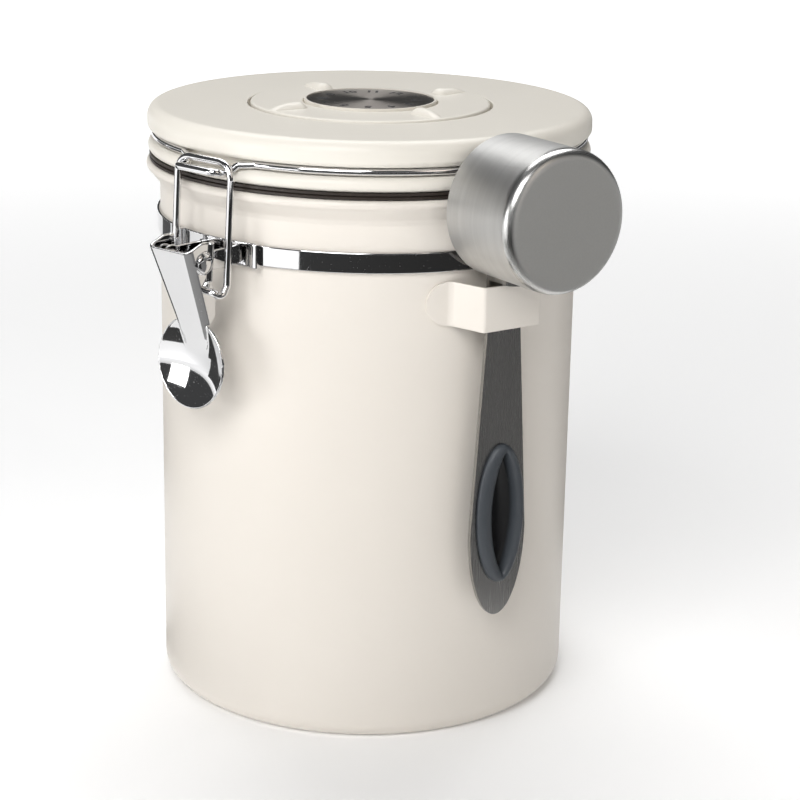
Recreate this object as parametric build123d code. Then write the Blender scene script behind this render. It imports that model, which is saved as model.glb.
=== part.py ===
from build123d import *
import os
from math import asin, atan, cos, degrees, radians, sin, sqrt

os.makedirs("parts", exist_ok=True)

# Canister for ground or whole coffee, in millimetres. The origin is the centre of the foot,
# +Z is up, the latch is at the front (-Y) and the hinge at the rear (+Y).

# Body: a deep drawn steel cup with a flared, curled rim.
body_radius = 60.0
body_wall = 1.0
body_foot_round = 4.8
body_foot_round_inside = 3.8
rim_top = 155.3
rim_bead = 1.4
rim_bead_out = 2.4
rim_flare_drop = 5.0
rim_flare_round = 3.0
rim_bead_outside_turn = -60.0
rim_bead_inside_turn = 205.0

# Clamp band: the strap round the body that carries the latch and the hinge.
band_drop = 20.1
band_width = 5.7
band_thickness = 1.0
band_edge_round = 0.35

# Sheet brackets crimped round the band.
bracket_sheet = 0.8
bracket_seat_gap = 0.05
bracket_overlap = 0.5
bracket_roll = 1.2
bracket_roll_height = 1.1
latch_bracket_half_width = 15.0
hinge_bracket_half_width = 12.0

# Latch: rivet A carries the lever, pivot B in the lever carries the wire loop.
rivet_ahead = 12.0
rivet_rise = 1.8
rivet_radius = 1.25
rivet_head_radius = 2.55
rivet_head_height = 0.9
rivet_boss_radius = 2.9
rivet_boss_height = 0.35
rivet_head_gap = 0.3
pivot_clearance = 0.06
bracket_ear_inside = 4.95
bracket_ear_round = 3.1
bracket_ear_neck_above = 2.5
bracket_ear_neck_below = 2.9

lever_sheet = 0.8
lever_top_ahead = 5.4
lever_top_rise = 3.2
lever_lean = 18.2
lever_top_half_width = 7.65
lever_low_half_width = 5.8
lever_taper_drop = 23.8
lever_tongue_drop = 28.4
lever_tongue_round = 4.4
lever_ear_round = 2.6
lever_rear = ((3.4, 5.9), (3.4, -5.4), (5.4, -10.0), (5.8, -15.4), (2.7, -20.4))
lever_waist_round = 3.0
lever_lobe_round = 2.6
lever_lip_radius = 0.9
lever_lip_half_length = 5.2

lever_pad_radius = 12.45
lever_pad_behind = 1.4
lever_pad_drop = 32.2
lever_pad_tilt = 4.2
lever_pad_dish = 3.0
lever_pad_rim = 1.2
lever_pad_rim_width = 0.9

# Wire parts are all bent from one size of wire.
wire_radius = 1.0
loop_pivot_behind = 1.9
loop_pivot_drop = 8.0
loop_half_width = 10.1
loop_pin_inside = 5.3
loop_foot_behind = 3.6
loop_foot_rise = 0.4
loop_bar_ahead = 3.9
loop_bar_rise = 0.4
loop_top_round = 3.4
loop_foot_round = 1.6

# Lid: a plug with a half-round flange, a groove for the wire ring and a top cover.
flange_rise = 1.9
flange_bead = 2.05
flange_bead_out = 1.2
groove_floor_out = 0.3
groove_height = 2.6
collar_out = 1.1
collar_height = 1.5
collar_inside_in = 3.0
web_thickness = 1.6
web_rise = 1.2
plug_in = 2.5
plug_wall = 2.0
plug_drop = 9.6
seal_lip_out = 0.5
seal_lip_width = 1.2
seal_lip_height = 1.0

cover_out = 3.4
cover_rise = 13.6
cover_plate = 2.2
cover_inside_gap = 0.1
cover_ledge = 1.8
cover_top_round = 3.4
cover_low_round = 1.5
cover_hole_round = 0.4
pocket_radius = 35.0
pocket_wall = 1.6
pocket_depth = 5.4
pocket_floor = 1.4
pocket_vents = 8
pocket_vent_radius = 1.5
pocket_vent_reach = 26.5

seal_gap = 0.2
seal_inside_gap = 0.1
seal_out = 2.9
seal_notch = 0.5

# Wire ring: lies in the groove, its front is the hook, its ends are the hinge pins.
ring_seat_gap = 0.1
ring_front_half_width = 14.6
ring_rear_half_width = 14.0
ring_wrap_gap = 0.35
ring_bend_round = 1.6
hook_half_width = 7.4
hook_steps = ((1.8, 0.3), (3.5, 2.7))
hook_width_shares = (0.30, 0.0)
hook_ahead = 7.8
hook_drop = 1.75
hook_round = 2.2
wrap_turns = (75.0, 33.0)
wrap_width_shares = (0.40, 0.10)

# Rear hinge.
hinge_ahead = 8.1
hinge_drop = 12.6
hinge_leg_half_width = 9.0
hinge_ear_inside = 5.6
hinge_ear_round = 2.6
hinge_ear_neck = 2.2
hinge_pin_inside = 4.7
hinge_pin_round = 1.6
hinge_shoulder_drop = 3.0
hinge_shoulder_round = 1.6

# Date dial: a turning ring round a fixed hub that carries a numbered steel disc.
dial_radius = 34.2
dial_rise = 0.5
dial_plate = 1.8
dial_skirt = 1.6
dial_lift = 0.3
dial_edge_round = 0.6
dial_bore = 17.1
dial_bore_clearance = 0.1
dial_sleeve_width = 3.8
dial_head_side_gap = 0.4
dial_head_gap = 0.3
dial_ridges = 4
dial_ridge_turn = -13.6
dial_ridge_height = 1.1
dial_ridge_inner_reach = 24.4
dial_ridge_inner_radius = 2.4
dial_ridge_outer_reach = 31.5
dial_ridge_outer_radius = 1.7
dial_ridge_round = 0.8

hub_head_radius = 18.9
hub_head_rise = 0.7
hub_rim = 0.6
hub_rim_height = 0.8
hub_head_sink = 0.4
hub_boss_wall = 1.6
hub_post_radius = 5.0
hub_post_drop = 1.1
disc_thickness = 0.5
disc_gap = 0.05
clip_thickness = 0.6
clip_radius = 8.6
clip_notches = 6
clip_notch_width = 1.0

# One-way valve under the lid.
valve_seat_radius = 9.0
valve_seat_width = 0.8
valve_seat_height = 0.5
valve_hole_count = 6
valve_hole_radius = 1.2
valve_hole_reach = 5.0
valve_stem_hole = 1.7
flap_radius = 10.0
flap_thickness = 0.8
flap_gap = 0.1
flap_travel = 0.8
flap_stem_radius = 1.3
flap_barb_radius = 2.1
flap_barb_height = 1.1
flap_barb_gap = 0.1
valve_cap_radius = 14.0
valve_cap_wall = 1.2
valve_cap_height = 6.0
valve_cap_gap = 0.1
valve_cap_hole_radius = 1.1
valve_cap_hole_reaches = (4.4, 8.8)
valve_cap_hole_counts = (6, 12)
valve_cap_edge_round = 0.8
valve_boss_wall = 1.2
valve_boss_height = 3.0
filter_gap = 0.2
filter_thickness = 2.0

# Scoop and the bracket that it hangs in, drawn at the front and then turned about Z.
scoop_turn = 75.5
scoop_back_out = 5.5
scoop_cup_radius = 19.1
scoop_cup_depth = 27.0
scoop_cup_wall = 0.8
scoop_cup_round = 2.8
scoop_cup_round_inside = 2.0
scoop_cup_drop = 2.1
scoop_sheet = 1.2
scoop_weld_gap = 0.05
scoop_tab_length = 8.6
scoop_neck_half_width = 5.5
scoop_neck_drop = 34.2
scoop_blade_half_width = 9.25
scoop_blade_drop = 91.2
scoop_end_drop = 116.2
grip_high_drop = 64.8
grip_low_drop = 106.4
grip_half_width = 8.1
grip_lip = 1.8
grip_front = 2.1
grip_back = 1.4
grip_front_round = 1.7
grip_back_round = 0.9
grip_slot_half_width = 3.3
grip_slot_margin = 3.2
grip_slot_floor = 0.9
hanger_sheet = 0.8
hanger_out = 10.3
hanger_half_width = 9.4
hanger_foot_half_width = 12.9
hanger_low_drop = 32.9
hanger_high_drop = 20.7
hanger_tab_half_width = 19.4
hanger_seat_gap = 0.05
hanger_bend_round = 1.4

# One overrun for every cut that passes right through.
overrun = 2.0

# Places that follow from the values above.
rim_bead_radius = body_radius + rim_bead_out
band_low = rim_top - band_drop
band_high = band_low + band_width
flange_low = rim_top + flange_rise
flange_bead_radius = body_radius + flange_bead_out
groove_floor_radius = body_radius + groove_floor_out
collar_radius = body_radius + collar_out
collar_inside_radius = body_radius - collar_inside_in
plug_radius = body_radius - plug_in
plug_low = flange_low - plug_drop
seal_lip_radius = body_radius + seal_lip_out
seal_radius = body_radius + seal_out
cover_radius = body_radius + cover_out
cover_top = flange_low + cover_rise
scoop_back_reach = body_radius + scoop_back_out
hanger_reach = body_radius + hanger_out
flange_high = flange_low + 2 * flange_bead
groove_high = flange_high + groove_height
wire_height = flange_high + groove_height / 2
collar_high = groove_high + collar_height
web_low = flange_low + web_rise
web_high = web_low + web_thickness
pocket_low = cover_top - pocket_depth
dial_top = cover_top + dial_rise
dial_low = pocket_low + dial_lift
head_low = dial_top - dial_plate - hub_head_sink
head_top = dial_top + hub_head_rise
sleeve_high = head_low - dial_head_gap
band_radius = body_radius + band_thickness
bracket_low = band_low - bracket_overlap
bracket_high = band_high + bracket_overlap
rivet_reach = band_radius + rivet_ahead
rivet_height = band_low + rivet_rise
lever_top_reach = rivet_reach + lever_top_ahead
lever_top_height = rivet_height + lever_top_rise
lever_low_height = lever_top_height - lever_taper_drop
lever_pad_reach = rivet_reach - lever_pad_behind
lever_pad_height = lever_top_height - lever_pad_drop
ring_reach = groove_floor_radius + wire_radius + ring_seat_gap
hook_reach = ring_reach + hook_ahead
hook_height = wire_height - hook_drop
loop_pivot_reach = rivet_reach - loop_pivot_behind
loop_pivot_height = rivet_height - loop_pivot_drop
loop_bar_reach = ring_reach + loop_bar_ahead
loop_bar_height = wire_height + loop_bar_rise
hinge_reach = ring_reach + hinge_ahead
hinge_height = wire_height - hinge_drop
scoop_cup_height = rim_top - scoop_cup_drop
scoop_neck_low = scoop_cup_height - scoop_neck_drop
scoop_blade_low = scoop_cup_height - scoop_blade_drop
scoop_end = scoop_cup_height - scoop_end_drop
grip_high = scoop_cup_height - grip_high_drop
grip_low = scoop_cup_height - grip_low_drop
hanger_high = scoop_cup_height - hanger_high_drop
hanger_low = scoop_cup_height - hanger_low_drop

# Side views: the first axis runs outward from the canister, the second runs up.
front_side = Plane(origin=(0, 0, 0), x_dir=(0, -1, 0), z_dir=(-1, 0, 0))
rear_side = Plane(origin=(0, 0, 0), x_dir=(0, 1, 0), z_dir=(1, 0, 0))
# Front view: the first axis runs to the right, the second runs up, and it faces the viewer.
front_view = Plane.XZ
upward = (Align.CENTER, Align.CENTER, Align.MIN)
downward = (Align.CENTER, Align.CENTER, Align.MAX)
towards_front = (Align.CENTER, Align.MAX, Align.CENTER)


def outline(points):
    """A flat face from the corners of a closed outline."""
    return make_face(Polyline(*points, close=True))


def round_corners(face, corners, radius):
    """The face with the corners nearest to the given points rounded."""
    for corner in corners:
        nearest = face.vertices().sort_by_distance(corner)[0]
        face = fillet(nearest, radius)
    return face


def turned(face):
    """The solid that a face of (radius, height) sweeps about the Z axis."""
    return revolve(Plane.XZ * face, axis=Axis.Z)


def disc(radius, low, high):
    """A plain cylinder about the Z axis."""
    return Pos(0, 0, low) * Cylinder(radius, high - low, align=upward)


def ring(inside, outside, low, high):
    """A plain ring about the Z axis."""
    cut = disc(inside, low - overrun, high + overrun)
    return disc(outside, low, high) - cut


def across(face, plane, inside, outside):
    """Two equal plates, left and right of the middle plane, from one side view."""
    whole = extrude(plane * face, amount=outside, both=True)
    return whole - extrude(plane * face, amount=inside, both=True)


def wire_along(path):
    """Round wire along a smooth path."""
    section = Plane(origin=path @ 0, z_dir=path % 0) * Circle(wire_radius)
    return sweep(section, path=path)


def canister_body():
    """Drawn cup: flat foot, straight wall, flare and a curled bead at the mouth."""
    bead = Pos(rim_bead_radius, rim_top - rim_bead) * Circle(rim_bead)
    bead_height = rim_top - rim_bead
    outer_turn = radians(rim_bead_outside_turn)
    inner_turn = radians(rim_bead_inside_turn)
    outer_meet = (rim_bead_radius + rim_bead * cos(outer_turn), bead_height + rim_bead * sin(outer_turn))
    inner_meet = (rim_bead_radius + rim_bead * cos(inner_turn), bead_height + rim_bead * sin(inner_turn))
    flare_low = bead_height - rim_flare_drop
    inner_flare = (body_radius - body_wall, flare_low + body_wall / 2)
    sheet = outline([
        (0, 0), (body_radius, 0), (body_radius, flare_low), outer_meet,
        (rim_bead_radius, bead_height), inner_meet, inner_flare,
        (body_radius - body_wall, body_wall), (0, body_wall)])
    sheet = round_corners(sheet, [(body_radius, 0)], body_foot_round)
    sheet = round_corners(sheet, [(body_radius - body_wall, body_wall)], body_foot_round_inside)
    sheet = round_corners(sheet, [(body_radius, flare_low)], rim_flare_round)
    sheet = round_corners(sheet, [inner_flare], rim_flare_round + body_wall)
    return turned(sheet + bead)


def clamp_band():
    """Flat strap round the body, its two outer edges eased."""
    strap = outline([
        (body_radius, band_low), (band_radius, band_low),
        (band_radius, band_high), (body_radius, band_high)])
    strap = round_corners(strap, [(band_radius, band_low), (band_radius, band_high)], band_edge_round)
    return turned(strap)


def bracket_base(half_width):
    """Curved plate over the band with a raised roll at each end, at the front."""
    inside = band_radius + bracket_seat_gap
    plate = ring(inside, inside + bracket_sheet, bracket_low, bracket_high)
    window = Box(2 * half_width, 2 * band_radius, 2 * bracket_high, align=towards_front)
    plate = plate & window
    rolls = ring(inside, inside + bracket_sheet + bracket_roll_height, bracket_low, bracket_high) & window
    rolls -= Box(2 * (half_width - bracket_roll), 3 * band_radius, 3 * bracket_high)
    return plate + rolls


def latch_bracket():
    """Base over the band with two ears folded outward for the lever's rivet."""
    root = band_radius + bracket_seat_gap
    neck = outline([
        (root, rivet_height - bracket_ear_neck_below), (rivet_reach, rivet_height - bracket_ear_neck_below),
        (rivet_reach, rivet_height + bracket_ear_neck_above), (root, rivet_height + bracket_ear_neck_above)])
    ear = neck + Pos(rivet_reach, rivet_height) * Circle(bracket_ear_round)
    ear -= Pos(rivet_reach, rivet_height) * Circle(rivet_radius + pivot_clearance)
    ear = across(ear, front_side, bracket_ear_inside, bracket_ear_inside + bracket_sheet)
    ear -= disc(band_radius + bracket_seat_gap, 0, cover_top)
    return bracket_base(latch_bracket_half_width) + ear


def lever_rivet():
    """Rivet through both bracket ears and both lever flanges, with low domed heads."""
    head_at = lever_half_width(rivet_height) + rivet_boss_height + rivet_head_gap
    half = [(0, 0), (rivet_radius, 0), (rivet_radius, head_at), (rivet_head_radius, head_at),
            (rivet_head_radius, head_at + rivet_head_height / 2), (0, head_at + rivet_head_height)]
    half = revolve(outline(half), axis=Axis.Y)
    both = half + Rot(0, 0, 180) * half
    return Pos(0, -rivet_reach, rivet_height) * Rot(0, 0, 90) * both


def lever_point(along, depth):
    """A point of the lever's side view, along its face from the top and in from the face."""
    lean = radians(lever_lean)
    return (lever_top_reach - along * sin(lean) - depth * cos(lean),
            lever_top_height - along * cos(lean) + depth * sin(lean))


def lever_half_width(height):
    """Half the lever's outer width at a height: it tapers from the top down to the tongue."""
    slope = (lever_top_half_width - lever_low_half_width) / lever_taper_drop
    return lever_top_half_width - slope * (lever_top_height - height)


def lever_flanges():
    """The two folded sides: a straight rear edge behind the rivet, then a lobe round the loop's pivot."""
    rear = [(rivet_reach - behind, rivet_height + above) for behind, above in lever_rear]
    tail = lever_point(lever_taper_drop / cos(radians(lever_lean)), 0)
    side = outline([lever_point(0, 0), *rear, tail])
    side = round_corners(side, [rear[0]], lever_ear_round)
    side = round_corners(side, [rear[1]], lever_waist_round)
    side = round_corners(side, rear[2:4], lever_lobe_round)
    boss = Pos(rivet_reach, rivet_height) * Circle(rivet_boss_radius)
    high, low = rear[0][1] + overrun, lever_low_height
    wide, narrow = lever_half_width(high), lever_half_width(low)
    strip = outline([(narrow, low), (wide, high), (wide - lever_sheet, high), (narrow - lever_sheet, low)])
    raised = outline([(narrow, low), (wide, high), (wide + rivet_boss_height, high),
                      (narrow + rivet_boss_height, low)])
    flange = extrude(front_side * side, amount=wide, both=True) & extrude(
        front_view * strip, amount=2 * lever_top_reach)
    flange += extrude(front_side * boss, amount=2 * wide, both=True) & extrude(
        front_view * raised, amount=2 * lever_top_reach)
    flange += lever_lip()
    flange -= extrude(front_side * Pos(rivet_reach, rivet_height) * Circle(rivet_radius + pivot_clearance),
                      amount=2 * wide, both=True)
    flange -= extrude(front_side * Pos(loop_pivot_reach, loop_pivot_height) * Circle(
        wire_radius + pivot_clearance), amount=2 * wide, both=True)
    return flange + mirror(flange, about=Plane.YZ)


def lever_lip():
    """Rolled lip that stiffens the right flange's rear edge behind the rivet."""
    behind = lever_rear[0][0]
    centre = lever_half_width(rivet_height) - lever_sheet + lever_lip_radius
    tilt = degrees(atan((lever_top_half_width - lever_low_half_width) / lever_taper_drop))
    roll = fillet(Cylinder(lever_lip_radius, 2 * lever_lip_half_length).edges().filter_by(GeomType.CIRCLE),
                  lever_lip_radius / 2)
    return Pos(centre, behind - rivet_reach, rivet_height) * Rot(0, tilt, 0) * roll


def lever_face():
    """The pressed face: it tapers downward and ends in a round tongue that runs into the dish."""
    tongue_low = lever_top_height - lever_tongue_drop
    length = lever_tongue_drop / cos(radians(lever_lean))
    strip = outline([lever_point(0, 0), lever_point(length, 0), lever_point(length, lever_sheet),
                     lever_point(0, lever_sheet)])
    strip = extrude(front_side * strip, amount=2 * lever_top_half_width, both=True)
    high = lever_top_height + overrun
    wide = lever_half_width(high)
    front = outline([
        (-wide, high), (-lever_low_half_width, lever_low_height), (-lever_low_half_width, tongue_low),
        (lever_low_half_width, tongue_low), (lever_low_half_width, lever_low_height), (wide, high)])
    front = round_corners(front, [(-lever_low_half_width, tongue_low), (lever_low_half_width, tongue_low)],
                          lever_tongue_round)
    return strip & extrude(front_view * front, amount=2 * lever_top_reach)


def lever_pad():
    """Round thumb pad, dished towards the front, its edge turned into a narrow rim."""
    ball = (lever_pad_radius ** 2 + lever_pad_dish ** 2) / (2 * lever_pad_dish)
    bowl = Pos(0, 0, ball - lever_pad_dish) * (Sphere(ball + lever_sheet) - Sphere(ball))
    bowl = bowl & disc(lever_pad_radius - lever_pad_rim_width / 2, -2 * lever_pad_dish, 0)
    rim = ring(lever_pad_radius - lever_pad_rim_width, lever_pad_radius, -lever_pad_rim, 0)
    rim = fillet(rim.edges().sort_by(Axis.Z)[-2:], lever_pad_rim_width / 3)
    place = Pos(0, -lever_pad_reach, lever_pad_height) * Rot(90 - lever_pad_tilt, 0, 0)
    return place * (bowl + rim)


def latch_lever():
    """Lever stamped from one sheet: tapered face, two flanges and a dished thumb pad."""
    return lever_face() + lever_flanges() + lever_pad()


def latch_loop():
    """Wire loop: a bar over the ring's hook and two legs, their ends turned into the lever."""
    half = [(loop_pin_inside, -loop_pivot_reach, loop_pivot_height),
            (loop_half_width, -loop_pivot_reach, loop_pivot_height),
            (loop_half_width, loop_foot_behind - loop_pivot_reach, loop_pivot_height + loop_foot_rise),
            (loop_half_width, -loop_bar_reach, loop_bar_height)]
    other = [(-x, y, z) for x, y, z in reversed(half)]
    rounds = [loop_foot_round, loop_foot_round, loop_top_round]
    path = FilletPolyline(*half, *other, radius=rounds + rounds[::-1])
    return wire_along(path)


def wrap_point(turn, share, half_width, tip_width):
    """A point of the wire as it climbs round the flange bead, seen from the front or the rear."""
    distance = flange_bead + wire_radius + ring_wrap_gap
    reach = flange_bead_radius + distance * cos(radians(turn))
    height = flange_low + flange_bead + distance * sin(radians(turn))
    width = tip_width + share * (half_width - tip_width)
    return (width, sqrt(reach ** 2 - width ** 2), height)


def ring_end(half_width):
    """Where the ring leaves its circle, and a point ahead on the tangent there."""
    turn = asin(half_width / ring_reach)
    start = (half_width, ring_reach * cos(turn), wire_height)
    ahead = (start[0] - wire_radius * cos(turn), start[1] + wire_radius * sin(turn), wire_height)
    return start, ahead


def ring_front_half():
    """Points of the right half of the hook: over the flange, down into a dip and up to the nose."""
    start, ahead = ring_end(ring_front_half_width)
    points = [start, ahead]
    for (out, down), share in zip(hook_steps, hook_width_shares):
        width = hook_half_width + share * (ring_front_half_width - hook_half_width)
        points.append((width, sqrt((ring_reach + out) ** 2 - width ** 2), wire_height - down))
    points.append((hook_half_width, hook_reach, hook_height))
    return [(x, -y, z) for x, y, z in points]


def ring_rear_half():
    """Points of the right rear end, from the ring round the flange and down to the hinge pin."""
    start, ahead = ring_end(ring_rear_half_width)
    points = [start, ahead]
    for turn, share in zip(wrap_turns, wrap_width_shares):
        points.append(wrap_point(turn, share, ring_rear_half_width, hinge_leg_half_width))
    shoulder = wrap_point(0, 0, 0, hinge_leg_half_width)[1]
    points.append((hinge_leg_half_width, shoulder, wire_height - hinge_shoulder_drop))
    points.append((hinge_leg_half_width, hinge_reach, hinge_height))
    points.append((hinge_pin_inside, hinge_reach, hinge_height))
    return points


def lid_ring():
    """One bent wire: hinge pins, the ring round the lid and the hook at the front."""
    front = ring_front_half()
    front_other = [(-x, y, z) for x, y, z in reversed(front)]
    front_rounds = [wire_radius] + [ring_bend_round] * len(hook_steps) + [hook_round]
    hook = FilletPolyline(*front, *front_other, radius=front_rounds + front_rounds[::-1])
    rear = ring_rear_half()
    rear_rounds = [wire_radius] + [ring_bend_round] * len(wrap_turns)
    rear_rounds += [hinge_shoulder_round, hinge_pin_round]
    rear_right = FilletPolyline(*rear[::-1], radius=rear_rounds[::-1])
    rear_left = FilletPolyline(*[(-x, y, z) for x, y, z in rear], radius=rear_rounds)
    right = ThreePointArc(rear[0], (ring_reach, 0, wire_height), front[0])
    rear_start = (-rear[0][0], rear[0][1], rear[0][2])
    left = ThreePointArc(front_other[-1], (-ring_reach, 0, wire_height), rear_start)
    edges = rear_right.edges() + right.edges() + hook.edges() + left.edges() + rear_left.edges()
    return wire_along(Wire(edges))


def hinge_bracket():
    """Base over the band with two ears that reach up and out to the hinge pins."""
    root = band_radius + bracket_seat_gap
    neck = outline([
        (root, bracket_low), (root + 2 * bracket_sheet, bracket_low),
        (hinge_reach + hinge_ear_neck, hinge_height - hinge_ear_neck / 2),
        (hinge_reach - hinge_ear_neck, hinge_height + hinge_ear_neck / 2), (root, bracket_high)])
    ear = neck + Pos(hinge_reach, hinge_height) * Circle(hinge_ear_round)
    ear -= Pos(hinge_reach, hinge_height) * Circle(wire_radius + pivot_clearance)
    ear = across(ear, rear_side, hinge_ear_inside, hinge_ear_inside + bracket_sheet)
    ear -= disc(root, 0, cover_top)
    return Rot(0, 0, 180) * bracket_base(hinge_bracket_half_width) + ear


def lid_base():
    """Plug, flange, ring groove and collar in one moulding, with the valve seat in its web."""
    bead_height = flange_low + flange_bead
    half_section = outline([
        (0, web_low), (plug_radius - plug_wall, web_low), (plug_radius - plug_wall, plug_low),
        (plug_radius, plug_low), (plug_radius, flange_low), (flange_bead_radius, flange_low),
        (flange_bead_radius, flange_high), (groove_floor_radius, flange_high),
        (groove_floor_radius, groove_high), (collar_radius, groove_high), (collar_radius, collar_high),
        (collar_inside_radius, collar_high), (collar_inside_radius, web_high), (0, web_high)])
    half_section += Pos(flange_bead_radius, bead_height) * Circle(flange_bead)
    base = turned(half_section)
    base += ring(seal_lip_radius - seal_lip_width, seal_lip_radius, flange_low - seal_lip_height, flange_low)
    seat_inside = valve_seat_radius - valve_seat_width
    base += ring(seat_inside, valve_seat_radius, web_high, web_high + valve_seat_height)
    boss_inside = valve_cap_radius + valve_cap_gap
    base += ring(boss_inside, boss_inside + valve_boss_wall, web_low - valve_boss_height, web_low)
    holes = PolarLocations(valve_hole_reach, valve_hole_count) * Cylinder(valve_hole_radius, 2 * web_high)
    return base - holes - Cylinder(valve_stem_hole, 2 * web_high)


def lid_seal():
    """Rubber seal under the flange, its outer face split into two lips."""
    inside = seal_lip_radius + seal_inside_gap
    low = rim_top + seal_gap
    middle = (low + flange_low) / 2
    section = outline([
        (inside, low), (seal_radius, low), (seal_radius, middle - seal_notch / 2),
        (seal_radius - seal_notch, middle), (seal_radius, middle + seal_notch / 2),
        (seal_radius, flange_low), (inside, flange_low)])
    return turned(section)


def lid_cover():
    """Top cover: rounded rim over the collar, flat top, and a vented pocket for the dial."""
    inside = collar_radius + cover_inside_gap
    under = cover_top - cover_plate
    ledge = inside - cover_ledge
    floor_low = pocket_low - pocket_floor
    pocket_out = pocket_radius + pocket_wall
    section = outline([
        (inside, groove_high), (cover_radius, groove_high), (cover_radius, cover_top),
        (pocket_radius, cover_top), (pocket_radius, pocket_low), (0, pocket_low), (0, floor_low),
        (pocket_out, floor_low), (pocket_out, under), (ledge, under), (ledge, collar_high),
        (inside, collar_high)])
    section = round_corners(section, [(cover_radius, cover_top)], cover_top_round)
    section = round_corners(section, [(cover_radius, groove_high)], cover_low_round)
    section = round_corners(section, [(pocket_radius, cover_top)], cover_hole_round)
    vents = PolarLocations(pocket_vent_reach, pocket_vents) * Cylinder(pocket_vent_radius, 2 * cover_top)
    return turned(section) - vents - Cylinder(hub_post_radius, 2 * cover_top)


def ridge_outline():
    """Teardrop outline of one finger ridge, blunt towards the hub."""
    inner = Pos(dial_ridge_inner_reach, 0) * Circle(dial_ridge_inner_radius)
    outer = Pos(dial_ridge_outer_reach, 0) * Circle(dial_ridge_outer_radius)
    return make_hull(inner.edges() + outer.edges())


def dial_ring():
    """Turning ring with four finger ridges, held down by the hub's head."""
    bore = dial_bore
    mouth = hub_head_radius + dial_head_side_gap
    sleeve = bore + dial_sleeve_width
    under = dial_top - dial_plate
    section = outline([
        (bore, dial_low), (bore, sleeve_high), (mouth, sleeve_high), (mouth, dial_top),
        (dial_radius, dial_top), (dial_radius, dial_low), (dial_radius - dial_skirt, dial_low),
        (dial_radius - dial_skirt, under), (sleeve, under), (sleeve, dial_low)])
    section = round_corners(section, [(dial_radius, dial_top)], dial_edge_round)
    ridge = Pos(0, 0, dial_top - dial_plate / 2) * ridge_outline()
    ridge = extrude(ridge, amount=dial_plate / 2 + dial_ridge_height)
    ridge = fillet(ridge.faces().sort_by(Axis.Z)[-1].edges(), dial_ridge_round)
    body = turned(section)
    for number in range(dial_ridges):
        body += Rot(0, 0, dial_ridge_turn + number * 360 / dial_ridges) * ridge
    return body


def dial_hub():
    """Fixed hub: shallow tray for the disc, a bearing boss and a post through the pocket floor."""
    boss = dial_bore - dial_bore_clearance
    tray = hub_head_radius - hub_rim
    tray_floor = head_top - hub_rim_height
    post_low = pocket_low - pocket_floor - hub_post_drop
    section = outline([
        (0, tray_floor), (tray, tray_floor), (tray, head_top), (hub_head_radius, head_top),
        (hub_head_radius, head_low), (boss, head_low), (boss, pocket_low),
        (boss - hub_boss_wall, pocket_low), (boss - hub_boss_wall, head_low), (hub_post_radius, head_low),
        (hub_post_radius, post_low), (0, post_low)])
    return turned(section)


def dial_disc():
    """Thin steel disc that lies in the hub's tray."""
    floor = head_top - hub_rim_height
    return disc(hub_head_radius - hub_rim - disc_gap, floor, floor + disc_thickness)


def hub_clip():
    """Push-on spring washer that holds the hub under the pocket floor."""
    high = pocket_low - pocket_floor
    washer = ring(hub_post_radius, clip_radius, high - clip_thickness, high)
    notch = Box(2 * clip_notch_width, clip_notch_width, 2 * cover_top)
    return washer - PolarLocations(hub_post_radius, clip_notches) * notch


def valve_flap():
    """Soft one-way flap with a stem and a barb, lying just over its seat."""
    low = web_high + valve_seat_height + flap_gap
    barb_high = web_low - flap_travel - flap_barb_gap
    flap = disc(flap_radius, low, low + flap_thickness)
    flap += disc(flap_stem_radius, barb_high - flap_barb_height, low)
    return flap + disc(flap_barb_radius, barb_high - flap_barb_height, barb_high)


def valve_cap():
    """Perforated cup that holds the filter under the valve."""
    low = web_low - valve_cap_height
    inside = valve_cap_radius - valve_cap_wall
    section = outline([
        (0, low), (valve_cap_radius, low), (valve_cap_radius, web_low), (inside, web_low),
        (inside, low + valve_cap_wall), (0, low + valve_cap_wall)])
    section = round_corners(section, [(valve_cap_radius, low)], valve_cap_edge_round)
    cap = turned(section)
    hole = Cylinder(valve_cap_hole_radius, 2 * web_high)
    for reach, count in zip(valve_cap_hole_reaches, valve_cap_hole_counts):
        cap -= PolarLocations(reach, count) * hole
    return cap - hole


def valve_filter():
    """Round felt pad inside the cap."""
    low = web_low - valve_cap_height + valve_cap_wall
    return disc(valve_cap_radius - valve_cap_wall - filter_gap, low, low + filter_thickness)


def scoop_bracket():
    """Hat-shaped sheet hanger: round-ended tabs on the body and a pocket for the handle."""
    foot = sqrt(body_radius ** 2 - hanger_foot_half_width ** 2)
    pocket = outline([
        (-hanger_foot_half_width, -foot + overrun), (-hanger_foot_half_width, -foot),
        (-hanger_half_width, -hanger_reach), (hanger_half_width, -hanger_reach),
        (hanger_foot_half_width, -foot), (hanger_foot_half_width, -foot + overrun)])
    corners = [(-hanger_half_width, -hanger_reach), (hanger_half_width, -hanger_reach)]
    pocket = round_corners(pocket, corners, hanger_bend_round)
    hollow = offset(pocket, amount=-hanger_sheet)
    tabs = Circle(body_radius + hanger_seat_gap + hanger_sheet) - Circle(body_radius + hanger_seat_gap)
    hollow += Pos(0, -foot) * Rectangle(2 * hanger_foot_half_width - 2 * hanger_sheet, 2 * overrun)
    plan = (pocket + tabs) - Circle(body_radius + hanger_seat_gap) - hollow
    height = hanger_high - hanger_low
    sheet = Pos(0, 0, hanger_low) * extrude(plan, amount=height)
    face = Pos(0, (hanger_low + hanger_high) / 2) * SlotOverall(2 * hanger_tab_half_width, height)
    sheet = sheet & extrude(front_view * face, amount=2 * hanger_reach)
    return Rot(0, 0, scoop_turn) * sheet


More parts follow.
